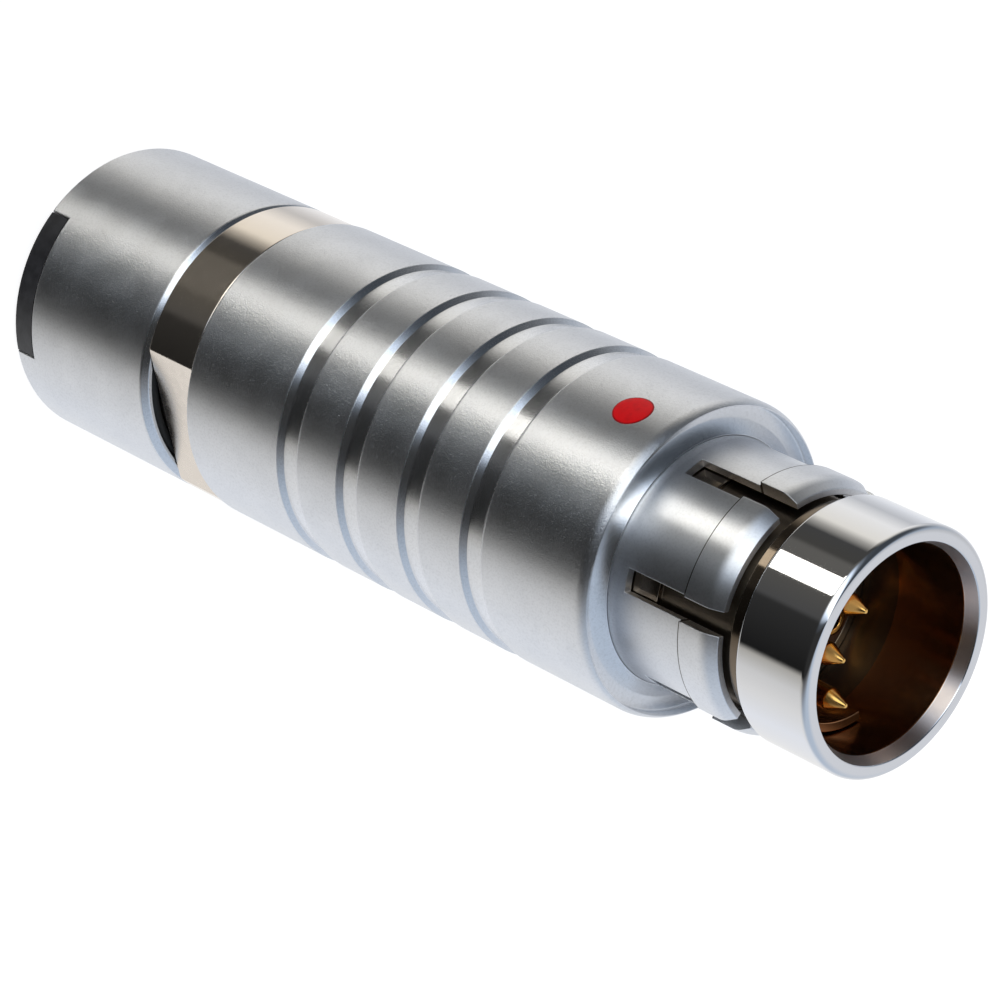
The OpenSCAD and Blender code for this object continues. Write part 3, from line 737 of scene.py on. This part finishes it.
# %% Enamel, plastics and rubber
def red_enamel():
    """Flat red, with painted shade: darker at its rim, where it meets its recess."""
    mat, tree, shader = new_material("red_enamel", (0.62, 0.001, 0.006), 0.0, 0.3)
    shader.inputs["Specular IOR Level"].default_value = 0.1
    x, _, z = position(tree)
    z = math_node(tree, "SUBTRACT", z, DOT_Z * MM)
    # Painted shade: a ring at the dot's edge is darkened, standing for the shadow of its recess.
    rim = either(tree, length(tree, x, z), DOT_R - 0.1, 1.0, 0.6)
    shade = product(tree, spread(tree, noise(tree, 2.0, 3.0), 0.58, 0.7), rim)
    tint(tree, shader, shade, (0.2, 0.0, 0.002), (0.6, 0.0, 0.003))
    bump(tree, shader, noise(tree, 1.5, 2.0), 0.15, 0.02)
    return mat


def amber_plastic():
    mat, tree, shader = new_material("amber_plastic", (0.06, 0.02, 0.006), 0.0, 0.45)
    tint(tree, shader, noise(tree, 1.2, 4.0), (0.05, 0.016, 0.005), (0.08, 0.026, 0.008))
    bump(tree, shader, noise(tree, 6.0, 3.0), 0.15, 0.01)
    return mat


def black_plastic():
    mat, tree, shader = new_material("black_plastic", (0.012, 0.012, 0.014), 0.0, 0.4)
    tint(tree, shader, noise(tree, 1.5, 4.0), (0.010, 0.010, 0.012), (0.02, 0.02, 0.023))
    bump(tree, shader, noise(tree, 5.0, 3.0), 0.3, 0.015)
    return mat


def seal_rubber():
    mat, tree, shader = new_material("seal_rubber", (0.02, 0.02, 0.02), 0.0, 0.65)
    bump(tree, shader, noise(tree, 4.0, 4.0), 0.4, 0.02)
    return mat


finishes = {
    "satin_chrome": satin_chrome("satin_chrome", SLEEVE_R - 0.03, rim_from_mm=SLEEVE_FRONT - 0.5),
    "satin_nut": satin_chrome("satin_nut", REAR_R - 0.03),
    # painted shade along the claws' step, as a thin dark line in the colour
    "satin_fingers": satin_chrome("satin_fingers", SLEEVE_R, shade_line_mm=CLAW_REAR + 0.07, smooth=0.34),
    "bright_chrome": bright_chrome(),
    "polished_nickel": polished_nickel(),
    "gold_contact": gold(),
    "turned_brass": turned_brass(),
    "spring_steel": spring_steel(),
    "red_enamel": red_enamel(),
    "amber_plastic": amber_plastic(),
    "black_plastic": black_plastic(),
    "seal_rubber": seal_rubber()}
print("finishes:", ", ".join(finishes))


# %% [markdown]
# ## Dress the frame
#
# Each new piece rides on the body of the CAD node that it stands for, and takes that node's
# slot. The hidden pieces keep their CAD meshes and only get a finish.

# %% Put the pieces on their bodies
slot_of = {row["node"]: row["material_slot"] for row in frame["record"]["subparts"]}
body_of = {n: b for b, nodes in frame["record"]["behaviour"]["bodies"].items() for n in nodes}


def dress(piece, node, finish=None):
    piece.data.materials.clear()
    piece.data.materials.append(finishes[finish or slot_of[node]])
    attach(piece, body_of[node])
    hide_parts(node)


dress(release_sleeve, "release_sleeve")
dress(coding_dot, "coding_dot")
dress(latch_sleeve, "latch_sleeve", "satin_fingers")
dress(plug_shell, "plug_shell")
dress(rear_body, "rear_body")
dress(back_nut, "back_nut", "satin_nut")
dress(key_ring, "key_ring")
for i, piece in enumerate(pins):
    dress(piece, f"pin_contact_{i + 1}")
for i, piece in enumerate(sockets):
    dress(piece, f"socket_contact_{i + 1}")
for name, node in frame["nodes"].items():
    if not node.hide_render:
        for material_slot in node.material_slots:
            material_slot.material = finishes[slot_of[name]]
        if not node.material_slots:
            node.data.materials.append(finishes[slot_of[name]])
print("CAD pieces kept:", sorted(n for n, o in frame["nodes"].items() if not o.hide_render))


# %% [markdown]
# ## Camera
#
# The plug is seen lying down with its nose towards the viewer. Here it stands on its cable end,
# so the camera looks down on the nose from a raised place and is rolled about its own view.

# %% Camera
CAMERA_AZ = -52.586


def look(azimuth, elevation, roll, distance_mm, aim_mm, lens):
    """A camera at an azimuth and elevation round the aim point, then turned about its view."""
    az, el, ro = (math.radians(v) for v in (azimuth, elevation, roll))
    back = np.array([math.cos(el) * math.cos(az), math.cos(el) * math.sin(az), math.sin(el)])
    right = np.array([-math.sin(az), math.cos(az), 0.0])
    up = np.cross(back, right)
    right, up = (right * math.cos(ro) - up * math.sin(ro), up * math.cos(ro) + right * math.sin(ro))
    data = bpy.data.cameras.new("camera")
    data.lens = lens
    data.sensor_width = 36
    data.clip_start = 0.01
    camera = bpy.data.objects.new("camera", data)
    bpy.context.scene.collection.objects.link(camera)
    place = (np.array(aim_mm) + back * distance_mm) * MM
    matrix = np.eye(4)
    matrix[:3, 0], matrix[:3, 1], matrix[:3, 2], matrix[:3, 3] = right, up, back, place
    camera.matrix_world = Matrix(matrix.tolist())
    bpy.context.scene.camera = camera


look(azimuth=CAMERA_AZ, elevation=41.055, roll=-115.852, distance_mm=243.37,
     aim_mm=(1.491, 1.141, 36.108), lens=150.16)


# %% [markdown]
# ## Light
#
# Chrome shows the room and nothing else. The room is the world's colour by direction: pale
# cards all round, one bright strip, and a dark gap on the viewer's side that gives the metal its
# band. The floor is plain and pale, and reflections don't see it, only the cards round it.

# %% World
PEAK = 1.8  # the brightest grey of all, because a ramp's colours end at 1
TINTS = {"warm": (1.03, 1.0, 0.93), "plain": (1, 1, 1), "cool": (0.97, 1.0, 1.06),
         "blue": (0.86, 1.0, 1.2)}
# azimuth from the viewer in degrees, the grey seen there, and its tint
LOW = [(-180, 1.0, "plain"), (-150, 0.85, "cool"), (-128, 0.6, "cool"), (-108, 0.95, "plain"),
       (-84, 0.85, "warm"), (-77, 0.4, "warm"), (-69, 0.06, "plain"), (-54, 0.06, "warm"),
       (-50, 0.12, "warm"), (-20, 0.12, "warm"), (-16, 0.09, "warm"), (2, 0.075, "plain"),
       (6, 0.03, "plain"), (50, 0.012, "plain"), (55, 0.45, "warm"), (70, 0.7, "plain"),
       (90, 0.82, "plain"), (120, 0.92, "cool"), (160, 0.9, "plain"), (180, 1.0, "plain")]
HIGH = [(-180, 0.75, "cool"), (-150, 0.6, "cool"), (-130, 0.45, "blue"), (-118, 0.18, "blue"),
        (-106, 0.07, "blue"), (-75, 0.06, "blue"), (-60, 0.08, "blue"), (-50, 0.25, "blue"),
        (-40, 1.1, "blue"), (-28, 1.8, "cool"), (-10, 1.8, "cool"), (-2, 1.0, "blue"),
        (6, 0.1, "blue"), (14, 0.035, "plain"), (48, 0.03, "plain"), (60, 0.2, "cool"),
        (78, 0.45, "blue"), (95, 0.58, "blue"), (130, 0.6, "blue"), (180, 0.75, "cool")]


def ring_of_cards(tree, turn, rows):
    """A colour ramp round the horizon, one stop to each row."""
    node = tree.nodes.new("ShaderNodeValToRGB")
    stops = node.color_ramp.elements
    for k, (azimuth, grey, name) in enumerate(rows):
        place = (azimuth + 180) / 360
        stop = stops[0] if k == 0 else stops[-1] if k == len(rows) - 1 else stops.new(place)
        stop.position = place
        stop.color = (*np.minimum(grey / PEAK * np.array(TINTS[name]), 1), 1)
    tree.links.new(turn, node.inputs["Fac"])
    return node.outputs["Color"]


def room():
    """Two rings of cards, a low one and a high one, mixed by how far a direction points up."""
    world = bpy.data.worlds.new("studio")
    bpy.context.scene.world = world
    world.use_nodes = True
    tree = world.node_tree
    tree.nodes.clear()
    link = tree.links.new
    where = tree.nodes.new("ShaderNodeTexCoord")
    parts = tree.nodes.new("ShaderNodeSeparateXYZ")
    link(where.outputs["Generated"], parts.inputs[0])
    angle = math_node(tree, "ARCTAN2", parts.outputs["Y"], parts.outputs["X"])
    turns = math_node(tree, "MULTIPLY", angle, 1 / (2 * math.pi))
    turn = math_node(tree, "FRACT", math_node(tree, "ADD", turns, 0.5 - CAMERA_AZ / 360))
    lift = tree.nodes.new("ShaderNodeMapRange")
    lift.interpolation_type = "SMOOTHSTEP"
    lift.inputs["From Min"].default_value = -0.4
    lift.inputs["From Max"].default_value = 0.3
    link(parts.outputs["Z"], lift.inputs["Value"])
    mix = tree.nodes.new("ShaderNodeMix")
    mix.data_type = "RGBA"
    link(lift.outputs["Result"], mix.inputs["Factor"])
    link(ring_of_cards(tree, turn, LOW), mix.inputs[6])
    link(ring_of_cards(tree, turn, HIGH), mix.inputs[7])
    lit = tree.nodes.new("ShaderNodeBackground")
    link(mix.outputs[2], lit.inputs["Color"])
    lit.inputs["Strength"].default_value = PEAK
    seen = tree.nodes.new("ShaderNodeBackground")
    seen.inputs["Color"].default_value = (1, 1, 1, 1)
    path = tree.nodes.new("ShaderNodeLightPath")
    choose = tree.nodes.new("ShaderNodeMixShader")
    out = tree.nodes.new("ShaderNodeOutputWorld")
    link(path.outputs["Is Camera Ray"], choose.inputs["Fac"])
    link(lit.outputs[0], choose.inputs[1])
    link(seen.outputs[0], choose.inputs[2])
    link(choose.outputs[0], out.inputs["Surface"])


room()


# %% Strip light
def strip(azimuths, heights_mm, distance_mm, strength):
    """A bright upright card at a finite distance, which only reflections see. It ends low down,
    so the front of the plug mirrors it and the rear does not."""
    a = np.radians(np.array(azimuths) + CAMERA_AZ)
    x, y = distance_mm * np.cos(a), distance_mm * np.sin(a)
    low, high = heights_mm
    corners = np.array([(x[0], y[0], low), (x[1], y[1], low),
                        (x[1], y[1], high), (x[0], y[0], high)])
    mesh = bpy.data.meshes.new("strip")
    mesh.from_pydata((corners * MM).tolist(), [], [(0, 1, 2, 3)])
    card = bpy.data.objects.new("strip", mesh)
    mat, tree, shader = new_material("strip", (0, 0, 0), 0.0, 1.0)
    shader.inputs["Emission Color"].default_value = (1.0, 0.97, 0.9, 1)
    shader.inputs["Emission Strength"].default_value = strength
    mat.cycles.emission_sampling = "NONE"
    card.data.materials.append(mat)
    bpy.context.scene.collection.objects.link(card)
    card.visible_camera = card.visible_diffuse = card.visible_shadow = False


strip(azimuths=(-37, -19), heights_mm=(-205, -10), distance_mm=300, strength=2.6)


# %% Floor
def floor_material():
    """Pale and a little lit from within, so that only a faint shadow shows."""
    mat, tree, shader = new_material("floor", (0.35, 0.35, 0.35), 0.0, 0.9)
    shader.inputs["Emission Color"].default_value = (1, 1, 1, 1)
    shader.inputs["Emission Strength"].default_value = 0.9
    return mat


SPAN = 2.0
corners = [(-SPAN, -SPAN, 0), (SPAN, -SPAN, 0), (SPAN, SPAN, 0), (-SPAN, SPAN, 0)]
mesh = bpy.data.meshes.new("floor")
mesh.from_pydata(corners, [], [(0, 1, 2, 3)])
floor = bpy.data.objects.new("floor", mesh)
floor.data.materials.append(floor_material())
bpy.context.scene.collection.objects.link(floor)
floor.visible_glossy = floor.visible_shadow = False

bpy.context.scene.view_settings.view_transform = "Standard"
